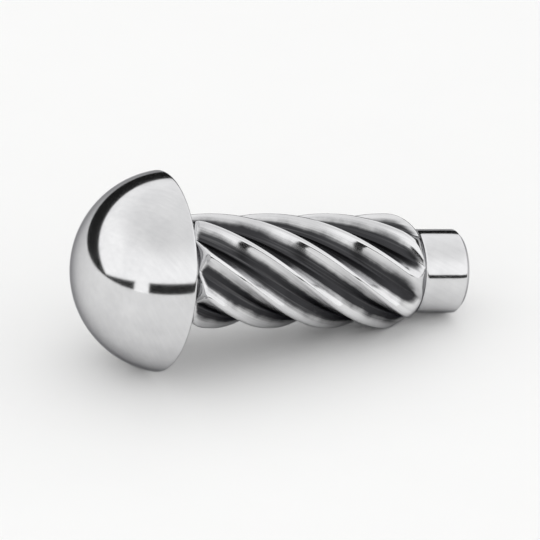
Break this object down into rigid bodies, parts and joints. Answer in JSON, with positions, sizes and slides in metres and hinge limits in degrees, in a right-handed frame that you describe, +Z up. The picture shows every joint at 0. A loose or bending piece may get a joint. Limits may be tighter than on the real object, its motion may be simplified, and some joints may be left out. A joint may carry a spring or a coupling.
{
  "type": "hammer drive screw",
  "caption": "Round-head hammer drive screw with steep helical ridges on the shank and a plain pilot, lying on its side.",
  "frame": {"origin": "middle of the bottom of the screw as it lies at rest, on the floor", "axes": "+X from the head towards the tip, level with the floor; +Z up. The screw's own axis dips 10.3 degrees towards the tip."},
  "size_m": [0.0162, 0.008, 0.0079],
  "materials": {
    "bright_steel": "bright, polished on the head and the ridges"
  },
  "bodies": {
    "root": {"drive_screw": "bright_steel"}
  },
  "joints": []
}
